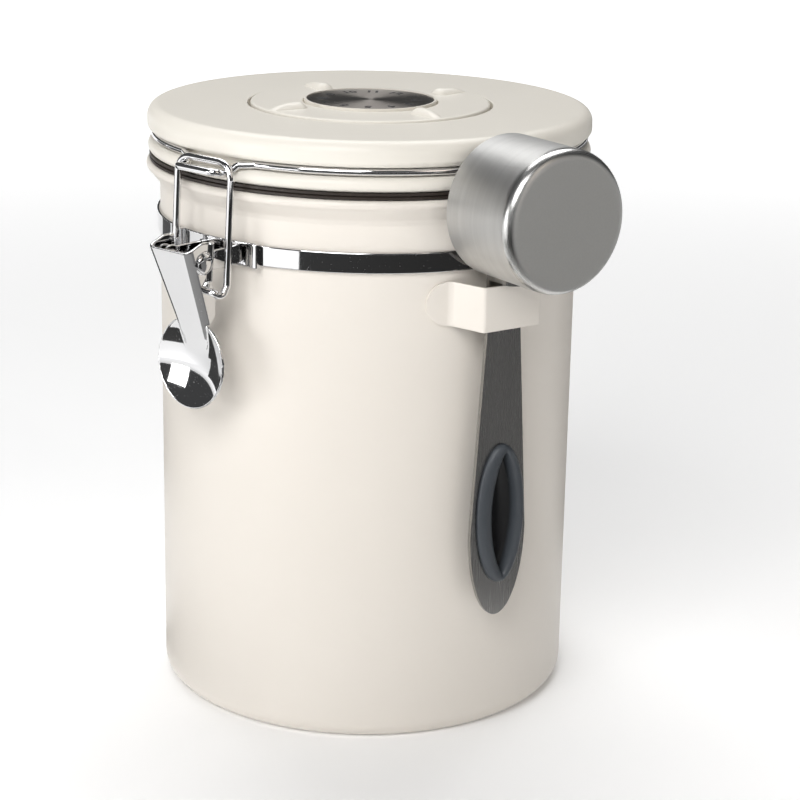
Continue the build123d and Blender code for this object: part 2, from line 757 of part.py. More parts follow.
def scoop_cup():
    """Deep drawn cup, its mouth towards the canister."""
    far = scoop_cup_depth
    inside = scoop_cup_radius - scoop_cup_wall
    section = outline([
        (inside, 0), (scoop_cup_radius, 0), (scoop_cup_radius, far), (0, far),
        (0, far - scoop_cup_wall), (inside, far - scoop_cup_wall)])
    section = round_corners(section, [(scoop_cup_radius, far)], scoop_cup_round)
    section = round_corners(section, [(inside, far - scoop_cup_wall)], scoop_cup_round_inside)
    cup = turned(section)
    cup = Pos(0, -scoop_back_reach, scoop_cup_height) * Rot(90, 0, 0) * cup
    return Rot(0, 0, scoop_turn) * cup


def pointed_oval(half_width, low, high):
    """Two equal arcs that meet in a point at each end, in the front view."""
    middle = (low + high) / 2
    right = ThreePointArc((0, low), (half_width, middle), (0, high))
    left = ThreePointArc((0, high), (-half_width, middle), (0, low))
    return make_face(right.edges() + left.edges())


def plate_at(face, near, far):
    """A front view made into a plate between two distances from the canister's axis."""
    return Pos(0, -near, 0) * extrude(front_view * face, amount=far - near)


def handle_outline():
    """Handle blade: narrow neck, slow taper to the widest part, long round end."""
    top = scoop_cup_height - scoop_cup_radius
    right = Polyline((0, top), (scoop_neck_half_width, top), (scoop_neck_half_width, scoop_neck_low),
                     (scoop_blade_half_width, scoop_blade_low))
    left = Polyline((-scoop_blade_half_width, scoop_blade_low), (-scoop_neck_half_width, scoop_neck_low),
                    (-scoop_neck_half_width, top), (0, top))
    end = EllipticalCenterArc((0, scoop_blade_low), scoop_blade_half_width, scoop_blade_low - scoop_end,
                              start_angle=180, arc_size=180)
    return make_face(right.edges() + left.edges() + end.edges())


def scoop_handle():
    """Flat blade in line with the cup's mouth, with a weld tab turned under the cup."""
    hole = Pos(0, (grip_low + grip_high) / 2) * Ellipse(grip_half_width - grip_lip,
                                                       (grip_high - grip_low) / 2 - grip_lip)
    blade = plate_at(handle_outline() - hole, scoop_back_reach, scoop_back_reach + scoop_sheet)
    axis = Pos(0, -scoop_back_reach, scoop_cup_height) * Rot(90, 0, 0)
    inner = scoop_cup_radius + scoop_weld_gap
    tab = Cylinder(inner + scoop_sheet, scoop_tab_length, align=upward)
    tab = axis * (tab & Box(2 * scoop_neck_half_width, 3 * inner, 3 * scoop_tab_length))
    under_half = Box(2 * inner, 3 * scoop_tab_length, 2 * inner, align=downward)
    tab = tab & Pos(0, -scoop_back_reach, scoop_cup_height) * under_half
    hollow = Pos(0, -scoop_back_reach + overrun, scoop_cup_height) * Rot(90, 0, 0) * Cylinder(
        inner, 3 * scoop_tab_length, align=upward)
    return Rot(0, 0, scoop_turn) * (blade + tab - hollow)


def scoop_grip():
    """Oval rubber grip set through the blade: full round rim and a pointed finger recess."""
    middle = (grip_low + grip_high) / 2
    half_height = (grip_high - grip_low) / 2
    rim = Pos(0, middle) * Ellipse(grip_half_width, half_height)
    waist = Pos(0, middle) * Ellipse(grip_half_width - grip_lip, half_height - grip_lip)
    blade_front = scoop_back_reach + scoop_sheet
    front = plate_at(rim, blade_front, blade_front + grip_front)
    front = fillet(front.faces().sort_by(Axis.Y)[0].edges(), grip_front_round)
    back = plate_at(rim, scoop_back_reach - grip_back, scoop_back_reach)
    back = fillet(back.faces().sort_by(Axis.Y)[-1].edges(), grip_back_round)
    body = front + back + plate_at(waist, scoop_back_reach - grip_back / 2, blade_front + grip_front / 2)
    recess = pointed_oval(grip_slot_half_width, grip_low + grip_slot_margin, grip_high - grip_slot_margin)
    floor = scoop_back_reach - grip_back + grip_slot_floor
    body -= plate_at(recess, floor, blade_front + grip_front + overrun)
    return Rot(0, 0, scoop_turn) * body


pieces = {
    "canister_body": canister_body,
    "clamp_band": clamp_band,
    "latch_bracket": latch_bracket,
    "lever_rivet": lever_rivet,
    "latch_lever": latch_lever,
    "latch_loop": latch_loop,
    "hinge_bracket": hinge_bracket,
    "lid_ring": lid_ring,
    "lid_base": lid_base,
    "lid_seal": lid_seal,
    "lid_cover": lid_cover,
    "dial_ring": dial_ring,
    "dial_hub": dial_hub,
    "dial_disc": dial_disc,
    "hub_clip": hub_clip,
    "valve_flap": valve_flap,
    "valve_cap": valve_cap,
    "valve_filter": valve_filter,
    "scoop_bracket": scoop_bracket,
    "scoop_cup": scoop_cup,
    "scoop_handle": scoop_handle,
    "scoop_grip": scoop_grip,
}

for name, make in pieces.items():
    shape = make()
    export_step(shape, f"parts/{name}.step")
    print(name, "solids", len(shape.solids()), "volume", round(shape.volume, 1))
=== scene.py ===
import math

import bmesh
import bpy
from mathutils import Matrix, Vector


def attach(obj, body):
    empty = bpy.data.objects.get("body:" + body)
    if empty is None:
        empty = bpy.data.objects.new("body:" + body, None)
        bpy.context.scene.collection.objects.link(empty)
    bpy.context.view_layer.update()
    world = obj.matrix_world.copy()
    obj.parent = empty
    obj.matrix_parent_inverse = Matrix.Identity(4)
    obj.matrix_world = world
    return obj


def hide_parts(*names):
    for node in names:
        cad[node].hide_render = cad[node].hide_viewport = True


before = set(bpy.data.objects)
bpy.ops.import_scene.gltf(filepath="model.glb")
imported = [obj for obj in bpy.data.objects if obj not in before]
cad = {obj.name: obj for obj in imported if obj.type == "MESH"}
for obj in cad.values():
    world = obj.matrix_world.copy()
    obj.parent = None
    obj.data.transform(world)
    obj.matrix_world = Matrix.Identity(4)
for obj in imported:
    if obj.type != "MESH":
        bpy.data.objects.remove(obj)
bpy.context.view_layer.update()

mm = 0.001

# Studio: a pale floor that glows with distance, three soft boxes in front, a large one high behind and a
# faint sky. The camera looks down on the canister from between the latch and the scoop. Dark cards lie on
# the floor and are seen only in the steel, as a photographer's cards would be.
room = Matrix.Rotation(math.radians(42.0), 4, "Z")
camera_back, camera_height = 0.63619, 0.27598
camera_pitch, camera_roll, camera_yaw = 0.2958, 0.0187, 0.0158


def placed(name, data):
    """An object of some data, put in the scene."""
    made = bpy.data.objects.new(name, data)
    bpy.context.scene.collection.objects.link(made)
    return made


lens = bpy.data.cameras.new("camera")
lens.sensor_width = 36.0
lens.lens = 100.76
camera = placed("camera", lens)
camera.matrix_world = (room @ Matrix.Translation((0.0, -camera_back, camera_height))
                       @ Matrix.Rotation(-camera_yaw, 4, "Z")
                       @ Matrix.Rotation(math.pi / 2 - camera_pitch, 4, "X")
                       @ Matrix.Rotation(camera_roll, 4, "Z"))
bpy.context.scene.camera = camera
bpy.context.scene.view_settings.view_transform = "Standard"


def soft_box(name, turn, rise, distance, width, height, power, colour=(1.0, 1.0, 1.0)):
    """An area light that faces the middle of the canister, its turn and rise seen from the camera's side."""
    light = bpy.data.lights.new(name, "AREA")
    light.shape = "RECTANGLE"
    light.size, light.size_y = width, height
    light.energy = power
    light.color = colour
    turn, rise = math.radians(turn), math.radians(rise)
    aim = Vector((0.0, 0.0, 0.1))
    at = aim + distance * (room @ Vector((math.sin(turn) * math.cos(rise), -math.cos(turn) * math.cos(rise),
                                          math.sin(rise))))
    lamp = placed(name, light)
    lamp.matrix_world = Matrix.Translation(at) @ (aim - at).to_track_quat("-Z", "Y").to_matrix().to_4x4()


soft_box("box_left", -20.0, 38.0, 1.15, 0.6, 0.6, 7.9)
soft_box("box_low", -62.0, 7.0, 1.1, 0.42, 0.30, 2.2)
soft_box("box_right", 40.0, 32.0, 1.3, 0.5, 0.8, 1.2, (1.0, 0.90, 0.80))
soft_box("box_top", 180.0, 62.0, 4.0, 3.6, 2.6, 118.0)

world = bpy.data.worlds.new("studio")
world.use_nodes = True
sky = world.node_tree.nodes["Background"]
sky.inputs["Color"].default_value = (0.93, 0.94, 0.96, 1.0)
sky.inputs["Strength"].default_value = 0.07
bpy.context.scene.world = world


class Signal:
    """A node socket that can be summed, scaled or divided with another one or with a number."""

    def __init__(self, tree, socket=None):
        self.tree = tree
        self.socket = socket

    def node(self, kind, settings=None, values=None, output=0):
        """Adds a node: its settings first, then the values or links of its sockets."""
        made = self.tree.nodes.new(kind)
        for key, setting in (settings or {}).items():
            setattr(made, key, setting)
        for key, value in (values or {}).items():
            if isinstance(value, Signal):
                self.tree.links.new(value.socket, made.inputs[key])
            else:
                made.inputs[key].default_value = value
        return Signal(self.tree, made.outputs[output])

    def maths(self, operation, first, second=0.0):
        """One Math node."""
        return self.node("ShaderNodeMath", {"operation": operation}, {0: first, 1: second})

    def __add__(self, other):
        return self.maths("ADD", self, other)

    def __sub__(self, other):
        return self.maths("SUBTRACT", self, other)

    def __rsub__(self, other):
        return self.maths("SUBTRACT", other, self)

    def __mul__(self, other):
        return self.maths("MULTIPLY", self, other)

    def __rtruediv__(self, other):
        return self.maths("DIVIDE", other, self)

    __radd__ = __add__
    __rmul__ = __mul__

    def step(self, low, high):
        """0 below low, 1 above high, eased between them."""
        return self.node("ShaderNodeMapRange", {"interpolation_type": "SMOOTHSTEP"},
                         {"Value": self, "From Min": low, "From Max": high})

    def mix(self, first, second):
        """The first colour where the mask is 0 and the second where it is 1."""
        def full(colour):
            return colour if isinstance(colour, Signal) else (*colour, 1.0)
        return self.node("ShaderNodeMix", {"data_type": "RGBA"},
                         {0: self, 6: full(first), 7: full(second)}, 2)


class Finish:
    """A material: a Principled shader with its constant sockets, and signals that vary its others."""

    def __init__(self, name, **constants):
        self.material = bpy.data.materials.new(name)
        self.material.use_nodes = True
        tree = self.material.node_tree
        self.shader = tree.nodes["Principled BSDF"]
        for word, value in constants.items():
            self.shader.inputs[word.replace("_", " ")].default_value = value
        self.start = Signal(tree)
        self.place = self.start.node("ShaderNodeTexCoord", output="Object")

    def turned(self, turn, scale):
        """The object's coordinates, turned about the canister's axis and then stretched."""
        upright = self.start.node("ShaderNodeMapping", {}, {"Vector": self.place,
                                                            "Rotation": (0.0, 0.0, math.radians(-turn))})
        return self.start.node("ShaderNodeMapping", {}, {"Vector": upright, "Scale": scale})

    def noise(self, scale, detail=2.0, roughness=0.5, where=None):
        """Soft random values from 0 to 1."""
        return self.start.node("ShaderNodeTexNoise", {}, {"Vector": where or self.place, "Scale": scale,
                                                          "Detail": detail, "Roughness": roughness})

    def axes(self, where):
        """The three coordinates of a point as numbers."""
        first = self.start.node("ShaderNodeSeparateXYZ", {}, {0: where})
        outputs = first.socket.node.outputs
        return first, Signal(first.tree, outputs[1]), Signal(first.tree, outputs[2])

    def bump(self, height, distance):
        """Links a height to the shader's normal, its full height given in metres."""
        self.link("Normal", self.start.node("ShaderNodeBump", {}, {"Height": height, "Distance": distance,
                                                                   "Strength": 1.0}))

    def link(self, word, signal):
        """Links a signal to one of the shader's sockets."""
        self.shader.id_data.links.new(signal.socket, self.shader.inputs[word])

    def on(self, *pieces):
        """Gives the pieces this finish alone."""
        for piece in pieces:
            piece.data.materials.clear()
            piece.data.materials.append(self.material)


def flat_sheet(name, points, finish):
    """A flat staged sheet that isn't part of the canister."""
    mesh = bpy.data.meshes.new(name)
    mesh.from_pydata(points, [], [tuple(range(len(points)))])
    sheet = placed(name, mesh)
    finish.on(sheet)
    return sheet


floor_half = 30.0
glow_from, glow_full = 0.35, 1.7
glow_near, glow_far = (0.10, 0.10, 0.10), (0.85, 0.85, 0.85)
pale = Finish("pale_floor", Roughness=0.7, Emission_Strength=1.0)
pale.link("Base Color", pale.noise(1.5).mix((0.93, 0.93, 0.93), (0.95, 0.95, 0.95)))
away = pale.start.node("ShaderNodeVectorMath", {"operation": "LENGTH"}, {0: pale.place}, "Value")
pale.link("Emission Color", away.step(glow_from, glow_full).mix(glow_near, glow_far))
flat_sheet("floor", [(x * floor_half, y * floor_half, 0.0) for x, y in ((-1, -1), (1, -1), (1, 1), (-1, 1))],
           pale)


def steel_card(name, first, last, shade, near=0.14, far=3.0):
    """A dark card on the floor that shows only in reflections, between two turns and two distances."""
    card_lift, card_steps = 0.0006, 16
    finish = Finish(name, Roughness=1.0)
    finish.link("Base Color", finish.noise(2.0).mix((shade * 0.8,) * 3, (shade * 1.2,) * 3))
    turns = [math.radians(first + (last - first) * k / card_steps) for k in range(card_steps + 1)]
    outline = [(far, turn) for turn in turns] + [(near, turn) for turn in reversed(turns)]
    card = flat_sheet(name, [room @ Vector((reach * math.sin(turn), -reach * math.cos(turn), card_lift))
                             for reach, turn in outline], finish)
    card.visible_camera = False
    card.visible_diffuse = False
    card.visible_shadow = False
    card.visible_transmission = False
    card.visible_volume_scatter = False


steel_card("black_card", -35.0, 52.0, 0.006, 0.25)
steel_card("grey_card", 52.0, 104.0, 0.22)
steel_card("rear_card", -236.0, -196.0, 0.13)
steel_card("side_card", -143.0, -129.0, 0.10, 0.42)
steel_card("lever_card", -44.0, 52.0, 0.30, 0.15, 0.25)
steel_card("near_card", -104.0, -35.0, 0.03, 0.066, 0.118)
steel_card("pad_card_left", -70.0, -38.0, 0.03, 0.22, 0.33)
steel_card("pad_card_right", -150.0, -99.0, 0.03, 0.205, 0.42)
steel_card("pad_card_far", -127.0, -104.0, 0.05, 0.42, 1.6)

# Body: the cup that holds the goods, deep drawn from steel with a curled rim and a rounded foot. It is
# powder coated off-white inside and out, and the coat has a faint grain.
coat_deep, coat_light = (0.785, 0.735, 0.668), (0.80, 0.753, 0.69)
coat_grain = 0.000010
coat = Finish("powder_coat", Roughness=0.42, Coat_Weight=0.15, Coat_Roughness=0.3)
coat.link("Base Color", coat.noise(14.0).mix(coat_deep, coat_light))
coat.link("Roughness", coat.noise(60.0) * 0.08 + 0.38)
coat.bump(coat.noise(900.0), coat_grain)
coat.on(cad["canister_body"])

# Clamp band: a steel strap drawn round the body under the flare, its edges rounded over, and chromed.
# Fine polishing marks and small specks catch the light in its dark reflections.
chrome_deep, chrome_light = (0.67, 0.67, 0.675), (0.73, 0.73, 0.735)
chrome = Finish("chrome", Metallic=1.0)
chrome.link("Base Color", chrome.noise(30.0).mix(chrome_deep, chrome_light))
marks = chrome.noise(1.0, 2.0, 0.6, chrome.turned(0.0, (900.0, 900.0, 5200.0))).step(0.66, 0.72)
specks = chrome.noise(2600.0, 1.0).step(0.73, 0.77)
chrome.link("Roughness", chrome.noise(45.0, 3.0) * 0.05 + 0.02 + marks * 0.07 + specks * 0.3)
chrome.bump(chrome.noise(120.0), 0.000012)


def lathe(profile, steps):
    """A mesh turned about Z from (radius, height) points, closed where the radius is zero."""
    shape = bmesh.new()
    rings = []
    for radius, height in profile:
        count = 1 if radius == 0 else steps
        rings.append([shape.verts.new((radius * mm * math.cos(math.tau * k / steps),
                                       radius * mm * math.sin(math.tau * k / steps), height * mm))
                      for k in range(count)])
    for low, high in zip(rings, rings[1:]):
        for k in range(steps):
            following = k + 1
            corners = [low[k % len(low)], low[following % len(low)],
                       high[following % len(high)], high[k % len(high)]]
            shape.faces.new(dict.fromkeys(corners))
    mesh = bpy.data.meshes.new("turned")
    shape.to_mesh(mesh)
    shape.free()
    return mesh


def whole_skin(mesh):
    """The mesh with its seams joined and its faces outward."""
    skin = bmesh.new()
    skin.from_mesh(mesh)
    bmesh.ops.remove_doubles(skin, verts=skin.verts, dist=0.000001)
    bmesh.ops.recalc_face_normals(skin, faces=skin.faces)
    skin.to_mesh(mesh)
    skin.free()
    return mesh


def finished(name, mesh, finish, body, slot, *nodes):
    """Makes a smooth piece of a mesh that stands for CAD nodes, and says what it rides on."""
    mesh.name = name
    for face in mesh.polygons:
        face.use_smooth = True
    piece = placed(name, mesh)
    finish.on(piece)
    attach(piece, body)
    if nodes:
        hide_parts(*nodes)
    return piece


def rounding(radius, height, edge, start, turns):
    """Points of a round edge about a centre (radius, height), at some turns past a first one."""
    return [(radius + edge * math.cos(math.radians(start + turn)),
             height + edge * math.sin(math.radians(start + turn))) for turn in turns]


strap_corners = [Vector(corner) / mm for corner in cad["clamp_band"].bound_box]
strap_radius = max(corner.x for corner in strap_corners)
strap_low, strap_high = min(corner.z for corner in strap_corners), max(corner.z for corner in strap_corners)
strap_sheet, strap_edge, strap_support = 1.0, 0.35, 0.1
strap_inside, strap_turn = strap_radius - strap_sheet, strap_radius - strap_edge
strap_section = [(strap_inside, strap_low), (strap_turn - strap_support, strap_low)]
strap_section += rounding(strap_turn, strap_low + strap_edge, strap_edge, -90.0, (0, 30, 60, 90))
strap_section += [(strap_radius, strap_low + strap_edge + strap_support),
                  (strap_radius, strap_high - strap_edge - strap_support)]
strap_section += rounding(strap_turn, strap_high - strap_edge, strap_edge, 0.0, (0, 30, 60, 90))
strap_section += [(strap_turn - strap_support, strap_high), (strap_inside, strap_high)]
strap_section += [(strap_inside, strap_low)]
finished("band", whole_skin(lathe(strap_section, 360)), chrome, "canister", "polished_steel", "clamp_band")


# Brackets: one at the latch and one at the hinge, pressed from sheet steel and chromed. Each is crimped
# round the band with a roll at both ends, and has two ears that stand out for the rivet or the pins.
def through(mesh, *changes):
    """The mesh after some modifiers, each given as its kind and settings."""
    blank = placed("blank", mesh)
    for kind, settings in changes:
        change = blank.modifiers.new(kind.lower(), kind)
        for key, value in settings.items():
            setattr(change, key, value)
    return settled(blank)


def settled(blank):
    """The plain mesh that an object's modifiers make. The object itself is taken away."""
    result = bpy.data.meshes.new_from_object(blank.evaluated_get(bpy.context.evaluated_depsgraph_get()))
    blank.modifiers.clear()
    bpy.data.objects.remove(blank)
    return result


def pressed(mesh, square, passes):
    """The mesh rebuilt in small squares and smoothed, so that every edge is eased as on pressed sheet."""
    return through(mesh, ("REMESH", {"mode": "VOXEL", "voxel_size": square * mm, "adaptivity": 0.0}),
                   ("SMOOTH", {"factor": 0.5, "iterations": passes}))


def pressed_copy(node, square, passes):
    """A copy of a CAD node's mesh with its edges eased."""
    copy = bmesh.new()
    copy.from_mesh(cad[node].data)
    bmesh.ops.remove_doubles(copy, verts=copy.verts, dist=0.000001)
    plain = bpy.data.meshes.new(node)
    copy.to_mesh(plain)
    copy.free()
    return pressed(plain, square, passes)


for seat, node in (("latch_seat", "latch_bracket"), ("hinge_seat", "hinge_bracket")):
    finished(seat, pressed_copy(node, 0.2, 4), chrome, "canister", "polished_steel", node)

# Rivet: a steel pin through both ears of the latch bracket and both sides of the lever, which turns on it.
# Its two ends are headed over into low domes, and it is chromed.
rivet_reach, rivet_height = 73.0, 137.0
rivet_pin, rivet_head, rivet_dome, rivet_edge = 1.25, 2.7, 0.62, 0.12
ear_outside, head_gap = 7.8, 0.12
head_low = ear_outside + head_gap
head_high = head_low + rivet_edge
rivet_half = [(rivet_pin, 0.0), (rivet_pin, head_low), (rivet_head - 0.15, head_low), (rivet_head, head_high)]
rivet_half += [(rivet_head * math.cos(math.radians(turn)),
                head_high + rivet_dome * math.sin(math.radians(turn))) for turn in (15, 30, 45, 58, 70, 80)]
rivet_half += [(0.0, head_high + rivet_dome)]
rivet_whole = [(radius, -height) for radius, height in reversed(rivet_half)] + rivet_half[1:]
rivet = lathe(rivet_whole, 48)
rivet.transform(Matrix.Translation((0.0, -rivet_reach * mm, rivet_height * mm))
                @ Matrix.Rotation(math.radians(90.0), 4, "Y"))
finished("rivet", whole_skin(rivet), chrome, "canister", "polished_steel", "lever_rivet")

# Lever: stamped and folded from one sheet of steel into a tapered channel, whose face runs down into a
# dished thumb pad. Each side has a rolled lip at its rear edge and a boss round the rivet. It is chromed.
lever_top, lever_lean, lever_sheet, lever_bend = Vector((79.7, 140.4)), math.radians(20.5), 0.8, 2.4
lever_half_width, lever_taper, lever_corner = 7.8, 0.083, 3.2
lever_sides = ((0.0, 9.4), (10.9, 5.9), (15.9, 6.7), (21.2, 5.0), (24.6, 1.6), (27.4, 1.2))
lever_length = lever_sides[-1][0]
pad_reach, pad_height, pad_radius, pad_dish, pad_tilt = 71.6, 108.0, 12.45, 3.0, math.radians(4.2)
pad_edge_from = 0.93
run_flat, run_fall, run_soft, run_above = 3.2, 0.30, 0.7, 2.0


def half_width(along):
    """Half the channel's width, which tapers towards the pad."""
    return lever_half_width - lever_taper * along * math.cos(lever_lean)


def side_depth(along):
    """How far a side reaches in from the face, with a round corner at the top."""
    for (low, start), (high, end) in zip(lever_sides, lever_sides[1:]):
        if along <= high:
            share = (along - low) / (high - low)
            depth = start + (end - start) * share * share * (3 - 2 * share)
            break
    if along < lever_corner:
        depth -= lever_corner - math.sqrt(lever_corner ** 2 - (lever_corner - along) ** 2)
    return depth


def channel_point(along, run):
    """A point on the outside of the channel: run goes across the face, round the bend and down the side."""
    flat = half_width(along) - lever_bend
    across, past = min(abs(run), 1.0) * flat, max(abs(run) - 1.0, 0.0)
    bend_depth = min(side_depth(along), lever_bend)
    full_turn = math.acos(1 - bend_depth / lever_bend)
    if past <= 1.0:
        turn = past * full_turn
        across = flat + lever_bend * math.sin(turn) if past else across
        depth = lever_bend * (1 - math.cos(turn))
    else:
        across = flat + lever_bend * math.sin(full_turn)
        depth = bend_depth + (side_depth(along) - bend_depth) * (past - 1.0)
    reach = lever_top.x - along * math.sin(lever_lean) - depth * math.cos(lever_lean)
    height = lever_top.y - along * math.cos(lever_lean) + depth * math.sin(lever_lean)
    return Vector((math.copysign(across, run), -reach, height)) * mm


def dish_point(share, turn):
    """A point of the pad's front: a shallow dish that the channel's face runs down into."""
    x, up = pad_radius * share * math.cos(turn), pad_radius * share * math.sin(turn)
    recess_shade_mask = pad_dish * (1 - share ** 2)
    if share >= pad_edge_from:
        recess_shade_mask = pad_dish * (1 - pad_edge_from ** 2) * (1 - share) / (1 - pad_edge_from)
    reach = pad_reach - recess_shade_mask - up * math.tan(pad_tilt)
    height = pad_height + up
    face = lever_top.x - (lever_top.y - height) * math.tan(lever_lean)
    face -= run_fall * max(abs(x) - run_flat, 0.0) ** 2
    blend = max(run_soft - abs(face - reach), 0.0) / run_soft
    if up > run_above:
        reach = max(face, reach) + blend * blend * run_soft / 4
    return Vector((x, -reach, height)) * mm


def patch(rows, closed=False):
    """A sheet of squares through rows of points."""
    shape = bmesh.new()
    grid = [[shape.verts.new(point) for point in row] for row in rows]
    for low, high in zip(grid, grid[1:]):
        for k in range(len(low) - (0 if closed else 1)):
            nearby = (k + 1) % len(low)
            shape.faces.new((low[k], low[nearby], high[nearby], high[k]))
    bmesh.ops.remove_doubles(shape, verts=shape.verts, dist=0.00001)
    mesh = bpy.data.meshes.new("patch")
    shape.to_mesh(mesh)
    shape.free()
    return mesh


runs = [-3.0 + 0.1 * k for k in range(61)]
channel = patch([[channel_point(lever_length * k / 60, run) for run in runs] for k in range(61)])
dish = patch([[dish_point(k / 40, math.tau * s / 96) for s in range(96)] for k in range(41)], True)
lever_parts = bmesh.new()
for sheet in (channel, dish):
    lever_parts.from_mesh(through(sheet, ("SOLIDIFY", {"thickness": lever_sheet * mm, "offset": 1.0,
                                                       "use_even_offset": True})))
lip_turn, lip_radius, lip_half, lip_reach, lip_aside, lip_end = math.radians(4.45), 0.85, 5.6, 70.6, 7.3, 0.4
boss_aside, boss_radius, boss_under, boss_rise = 7.4, 3.0, 0.5, 0.4
for side in (1.0, -1.0):
    lip = lathe([(0.0, -lip_half), (lip_radius * 0.6, -lip_half), (lip_radius, lip_end - lip_half),
                 (lip_radius, lip_half - lip_end), (lip_radius * 0.6, lip_half), (0.0, lip_half)], 24)
    lip.transform(Matrix.Translation((side * lip_aside * mm, -lip_reach * mm, rivet_height * mm))
                  @ Matrix.Rotation(side * lip_turn, 4, "Y"))
    lever_parts.from_mesh(lip)
    boss = lathe([(0.0, -boss_under), (boss_radius - 0.1, -boss_under), (boss_radius, 0.0),
                  (boss_radius - 0.25, boss_rise), (0.0, boss_rise)], 40)
    boss.transform(Matrix.Translation((side * boss_aside * mm, -rivet_reach * mm, rivet_height * mm))
                   @ Matrix.Rotation(side * (math.radians(90.0) + lip_turn), 4, "Y"))
    lever_parts.from_mesh(boss)
bmesh.ops.recalc_face_normals(lever_parts, faces=lever_parts.faces)
lever_mesh = bpy.data.meshes.new("lever")
lever_parts.to_mesh(lever_mesh)
lever_parts.free()
finished("lever", pressed(lever_mesh, 0.18, 5), chrome, "lever", "polished_steel", "latch_lever")

# Loop: one steel wire bent to a bar and two legs, bright plated. The bar goes over the lid ring's hook, and
# the wire's ends turn in towards each other and pivot in the lever's sides.
bright_deep, bright_light = (0.80, 0.80, 0.81), (0.87, 0.87, 0.875)
bright = Finish("bright_wire", Metallic=1.0)
bright.link("Base Color", bright.noise(30.0).mix(bright_deep, bright_light))
bright.link("Roughness", bright.noise(60.0, 3.0) * 0.06 + 0.03)
bright.bump(bright.noise(200.0), 0.000010)


def rounded(corners, steps=8):
    """A path of straight runs, each corner (x, y, z, bend radius) rounded by an arc."""
    path = []
    for k, (x, y, z, bend) in enumerate(corners):
        corner = Vector((x, y, z))
        if bend == 0:
            path.append(corner)
            continue
        back = (Vector(corners[k - 1][:3]) - corner).normalized()
        ahead = (Vector(corners[k + 1][:3]) - corner).normalized()
        half_turn = back.angle(ahead) / 2
        centre = corner + (back + ahead).normalized() * bend / math.sin(half_turn)
        first = corner + back * bend / math.tan(half_turn) - centre
        last = corner + ahead * bend / math.tan(half_turn) - centre
        turn = first.angle(last)
        axis = first.cross(last).normalized()
        path += [centre + Matrix.Rotation(turn * s / steps, 3, axis) @ first for s in range(steps + 1)]
    return path


def new_tree(name, **inputs):
    """An empty geometry node tree with named inputs, and a signal for each of them."""
    tree = bpy.data.node_groups.new(name, "GeometryNodeTree")
    for word, kind in inputs.items():
        tree.interface.new_socket(name=word.replace("_", " "), in_out="INPUT",
                                  socket_type="NodeSocket" + kind)
    tree.interface.new_socket(name="made", in_out="OUTPUT", socket_type="NodeSocketGeometry")
    given = tree.nodes.new("NodeGroupInput")
    return tree, [Signal(tree, given.outputs[k]) for k in range(len(inputs))]


def end_tree(tree, shape, finish):
    """Closes a tree: its copies are made real and given their finish."""
    real = shape.node("GeometryNodeRealizeInstances", {}, {0: shape})
    dressed = shape.node("GeometryNodeSetMaterial", {}, {"Geometry": real, "Material": finish})
    end = tree.nodes.new("NodeGroupOutput")
    tree.links.new(dressed.socket, end.inputs[0])
    return tree


def wire_tree():
    """Geometry nodes that run round wire along a path of points."""
    tree, (path, radius, sides, finish) = new_tree("wire_along_path", path="Geometry", wire_radius="Float",
                                                   sides="Int", finish="Material")
    line = path.node("GeometryNodeMeshToCurve", {}, {"Mesh": path})
    section = path.node("GeometryNodeCurvePrimitiveCircle", {}, {"Resolution": sides, "Radius": radius})
    wire = path.node("GeometryNodeCurveToMesh", {}, {"Curve": line, "Profile Curve": section,
                                                     "Fill Caps": True})
    return end_tree(tree, wire, finish)


def grown(mesh, tree, inputs):
    """The mesh that a geometry node tree makes, its inputs set by name."""
    blank = placed("blank", mesh)
    change = blank.modifiers.new("nodes", "NODES")
    change.node_group = tree
    for item in tree.interface.items_tree:
        if item.in_out == "INPUT" and item.name in inputs:
            change[item.identifier] = inputs[item.name]
    return settled(blank)


wire_along_path = wire_tree()
wire_radius, wire_sides = 1.0, 28


def bent_wire(path, finish):
    """Round wire along a path in millimetres."""
    line = bpy.data.meshes.new("path")
    line.from_pydata([point * mm for point in path], [(k, k + 1) for k in range(len(path) - 1)], [])
    return grown(line, wire_along_path, {"wire radius": wire_radius * mm, "sides": wire_sides,
                                         "finish": finish.material})


def both_sides(half):
    """A path of corners that goes on as its own mirror image at the other side."""
    return half + [(-x, y, z, bend) for x, y, z, bend in reversed(half)]


loop_leg, pivot_reach, pivot_height = 10.1, 71.1, 129.0
loop_half = [(5.3, -pivot_reach, pivot_height, 0), (9.1, -pivot_reach, pivot_height, 1.1),
             (loop_leg, -69.3, 127.2, 1.5), (loop_leg, -67.2, 130.4, 1.5), (loop_leg, -65.3, 163.0, 4.6)]
loop_path = rounded(both_sides(loop_half))
finished("loop", bent_wire(loop_path, bright), bright, "loop", "polished_wire", "latch_loop")

# Lid ring: one bent steel wire, bright plated. Its middle is the hook for the loop, its sides lie in the
# lid's groove, and its ends run over the flange and down to the hinge pins.
ring_reach, ring_height, hook_leg, pin_leg = 61.4, 162.6, 7.4, 9.0
rear_side, front_side = 14.0, 14.6
pin_half = [(4.7, 69.5, 150.0, 0), (pin_leg, 69.5, 150.0, 1.6), (pin_leg, 63.97, 159.6, 1.6),
            (9.5, 63.34, 161.1, 1.6), (11.0, 61.1, 162.53, 1.6), (13.03, 60.01, ring_height, 1.0)]
rear_turn, front_turn = math.asin(rear_side / ring_reach), math.pi - math.asin(front_side / ring_reach)
groove_half = [(ring_reach * math.sin(turn), ring_reach * math.cos(turn), ring_height, 0)
               for turn in (rear_turn + (front_turn - rear_turn) * k / 90 for k in range(91))]
hook_half = [(13.63, -59.88, ring_height, 1.0), (9.56, -62.47, 162.3, 1.6), (hook_leg, -64.48, 159.9, 1.6),
             (hook_leg, -69.2, 160.85, 2.2)]
ring_path = rounded(both_sides(pin_half + groove_half + hook_half))
